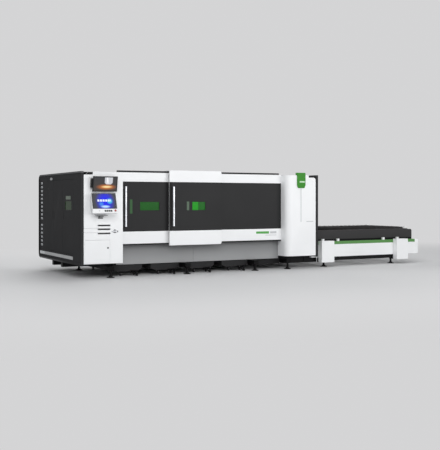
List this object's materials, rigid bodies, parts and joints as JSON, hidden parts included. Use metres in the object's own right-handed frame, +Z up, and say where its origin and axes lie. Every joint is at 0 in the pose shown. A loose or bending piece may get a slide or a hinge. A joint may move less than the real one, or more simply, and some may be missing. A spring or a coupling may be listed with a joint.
{
  "type": "fiber laser cutting machine",
  "caption": "Enclosed sheet laser cutter: sliding doors, control console and status lamp in front, exchange table with toothed slat pallets at one end, slag carts on wheels below.",
  "frame": {"origin": "centre of the front left levelling foot's underside, on the floor", "axes": "+X along the machine to the exchange table, +Y to the back, +Z up"},
  "size_m": [9.175, 3.309, 2.243],
  "materials": {
    "white_paint": "satin",
    "dark_paint": "satin",
    "grey_paint": "satin",
    "frame_steel": "satin",
    "dark_steel": "satin",
    "pallet_steel": "satin",
    "rail_steel": "satin",
    "black_steel": "satin",
    "black_plastic": "matte",
    "red_plastic": "gloss",
    "green_glass": "gloss",
    "green_lamp": "gloss"
  },
  "bodies": {
    "root": {"bed_side_beams": "frame_steel", "bed_cross_members": "frame_steel", "levelling_feet": "black_steel", "x_guide_rails": "rail_steel", "pallet_rails": "dark_steel", "table_side_beams": "white_paint", "table_underframe": "dark_paint", "table_leg_covers": "white_paint", "pallet_guide_rollers": "white_paint", "left_end_cover": "dark_paint", "end_vent_grille": "dark_paint", "end_bumper_rail": "grey_paint", "right_end_cover": "white_paint", "rear_panels": "white_paint", "roof_panels": "dark_paint", "skirt_panels": "grey_paint", "door_tracks": "dark_paint", "fixed_front_panel": "white_paint", "fixed_panel_infill": "dark_paint", "right_column": "white_paint", "status_lamp": "green_lamp", "control_cabinet": "white_paint", "drive_modules": "black_plastic", "laser_source": "white_paint", "console_arm": "dark_paint"},
    "upper_pallet_body": {"upper_pallet": "pallet_steel"},
    "lower_pallet_body": {"lower_pallet": "pallet_steel"},
    "pallet_gate_body": {"pallet_gate": "dark_paint"},
    "left_door_body": {"left_door": "white_paint", "left_door_infill": "dark_paint", "left_door_window": "green_glass", "left_door_handle": "rail_steel"},
    "outer_door_body": {"outer_door": "white_paint", "outer_door_infill": "dark_paint", "outer_door_window": "green_glass", "outer_door_handle": "rail_steel"},
    "end_window_door_body": {"end_window_door": "dark_paint", "end_door_window": "green_glass"},
    "end_door_front_body": {"end_door_front": "dark_paint"},
    "end_door_rear_body": {"end_door_rear": "dark_paint"},
    "cabinet_door_body": {"cabinet_door": "white_paint"},
    "isolator_body": {"isolator_handle": "black_plastic"},
    "monitor_body": {"monitor": "black_plastic"},
    "console_body": {"console": "black_plastic"},
    "emergency_stop_body": {"emergency_stop": "red_plastic"},
    "gantry_body": {"gantry_beam": "white_paint"},
    "carriage_body": {"head_carriage": "dark_paint"},
    "head_body": {"cutting_head": "rail_steel"},
    "push_button_1_body": {"push_button_1": "black_plastic"},
    "push_button_2_body": {"push_button_2": "black_plastic"},
    "push_button_3_body": {"push_button_3": "black_plastic"},
    "push_button_4_body": {"push_button_4": "black_plastic"},
    "slag_cart_1_body": {"slag_cart_1": "black_steel"},
    "cart_drawbar_1_body": {"cart_drawbar_1": "black_steel"},
    "slag_cart_2_body": {"slag_cart_2": "black_steel"},
    "cart_drawbar_2_body": {"cart_drawbar_2": "black_steel"},
    "slag_cart_3_body": {"slag_cart_3": "black_steel"},
    "cart_drawbar_3_body": {"cart_drawbar_3": "black_steel"},
    "slag_cart_4_body": {"slag_cart_4": "black_steel"},
    "cart_drawbar_4_body": {"cart_drawbar_4": "black_steel"}
  },
  "joints": [
    {"name": "upper_pallet_slide", "type": "slide", "parent": "root", "child": "upper_pallet_body", "axis": [-1, 0, 0], "range_m": [0, 4.3]},
    {"name": "lower_pallet_slide", "type": "slide", "parent": "root", "child": "lower_pallet_body", "axis": [1, 0, 0], "range_m": [0, 4.3]},
    {"name": "pallet_gate_slide", "type": "slide", "parent": "root", "child": "pallet_gate_body", "axis": [0, 0, 1], "range_m": [-0.79, 0]},
    {"name": "left_door_slide", "type": "slide", "parent": "root", "child": "left_door_body", "axis": [1, 0, 0], "range_m": [0, 1.1]},
    {"name": "outer_door_slide", "type": "slide", "parent": "root", "child": "outer_door_body", "axis": [1, 0, 0], "range_m": [0, 1.6]},
    {"name": "end_window_door_hinge", "type": "hinge", "parent": "root", "child": "end_window_door_body", "pos_m": [-0.685, 0.355, 1.26], "axis": [0, 0, 1], "range_deg": [0, 110]},
    {"name": "end_door_front_hinge", "type": "hinge", "parent": "root", "child": "end_door_front_body", "pos_m": [-0.685, 1.105, 1.26], "axis": [0, 0, 1], "range_deg": [0, 110]},
    {"name": "end_door_rear_hinge", "type": "hinge", "parent": "root", "child": "end_door_rear_body", "pos_m": [-0.685, 2.175, 1.26], "axis": [0, 0, -1], "range_deg": [0, 110]},
    {"name": "cabinet_door_hinge", "type": "hinge", "parent": "root", "child": "cabinet_door_body", "pos_m": [-0.605, -0.15, 0.555], "axis": [0, 0, -1], "range_deg": [0, 110]},
    {"name": "isolator_turn", "type": "hinge", "parent": "root", "child": "isolator_body", "pos_m": [0.035, -0.15, 0.965], "axis": [0, 1, 0], "range_deg": [0, 90]},
    {"name": "monitor_tilt", "type": "hinge", "parent": "root", "child": "monitor_body", "pos_m": [-0.213, -0.212, 1.939], "axis": [1, 0, 0], "range_deg": [-10, 8]},
    {"name": "console_tilt", "type": "hinge", "parent": "root", "child": "console_body", "pos_m": [-0.253, -0.26, 1.525], "axis": [1, 0, 0], "range_deg": [-4, 15]},
    {"name": "push_button_1_press", "type": "slide", "parent": "console_body", "child": "push_button_1_body", "axis": [0, 0.9563, -0.2924], "range_m": [0, 0.004], "stiffness_N_per_m": 900, "springref_m": -0.003},
    {"name": "push_button_2_press", "type": "slide", "parent": "console_body", "child": "push_button_2_body", "axis": [0, 0.9563, -0.2924], "range_m": [0, 0.004], "stiffness_N_per_m": 900, "springref_m": -0.003},
    {"name": "push_button_3_press", "type": "slide", "parent": "console_body", "child": "push_button_3_body", "axis": [0, 0.9563, -0.2924], "range_m": [0, 0.004], "stiffness_N_per_m": 900, "springref_m": -0.003},
    {"name": "push_button_4_press", "type": "slide", "parent": "console_body", "child": "push_button_4_body", "axis": [0, 0.9563, -0.2924], "range_m": [0, 0.004], "stiffness_N_per_m": 900, "springref_m": -0.003},
    {"name": "emergency_stop_press", "type": "slide", "parent": "console_body", "child": "emergency_stop_body", "axis": [0, 0.9563, -0.2924], "range_m": [0, 0.005], "stiffness_N_per_m": 1200, "springref_m": -0.004},
    {"name": "gantry_slide", "type": "slide", "parent": "root", "child": "gantry_body", "axis": [1, 0, 0], "range_m": [0, 3.1]},
    {"name": "carriage_slide", "type": "slide", "parent": "gantry_body", "child": "carriage_body", "axis": [0, 1, 0], "range_m": [0, 1.39]},
    {"name": "head_slide", "type": "slide", "parent": "carriage_body", "child": "head_body", "axis": [0, 0, 1], "range_m": [-0.33, 0]},
    {"name": "slag_cart_1_slide", "type": "slide", "parent": "root", "child": "slag_cart_1_body", "axis": [0, -1, 0], "range_m": [0, 1.8]},
    {"name": "cart_drawbar_1_hinge", "type": "hinge", "parent": "slag_cart_1_body", "child": "cart_drawbar_1_body", "pos_m": [0.6, 0.2027, 0.11], "axis": [-1, 0, 0], "range_deg": [0, 75]},
    {"name": "slag_cart_2_slide", "type": "slide", "parent": "root", "child": "slag_cart_2_body", "axis": [0, -1, 0], "range_m": [0, 1.8]},
    {"name": "cart_drawbar_2_hinge", "type": "hinge", "parent": "slag_cart_2_body", "child": "cart_drawbar_2_body", "pos_m": [1.47, 0.2027, 0.11], "axis": [-1, 0, 0], "range_deg": [0, 75]},
    {"name": "slag_cart_3_slide", "type": "slide", "parent": "root", "child": "slag_cart_3_body", "axis": [0, -1, 0], "range_m": [0, 1.8]},
    {"name": "cart_drawbar_3_hinge", "type": "hinge", "parent": "slag_cart_3_body", "child": "cart_drawbar_3_body", "pos_m": [2.34, 0.2027, 0.11], "axis": [-1, 0, 0], "range_deg": [0, 75]},
    {"name": "slag_cart_4_slide", "type": "slide", "parent": "root", "child": "slag_cart_4_body", "axis": [0, -1, 0], "range_m": [0, 1.8]},
    {"name": "cart_drawbar_4_hinge", "type": "hinge", "parent": "slag_cart_4_body", "child": "cart_drawbar_4_body", "pos_m": [3.21, 0.2027, 0.11], "axis": [-1, 0, 0], "range_deg": [0, 75]}
  ],
  "couplings": [
    {"joint": "lower_pallet_slide", "follows": "upper_pallet_slide", "ratio": 1}
  ]
}
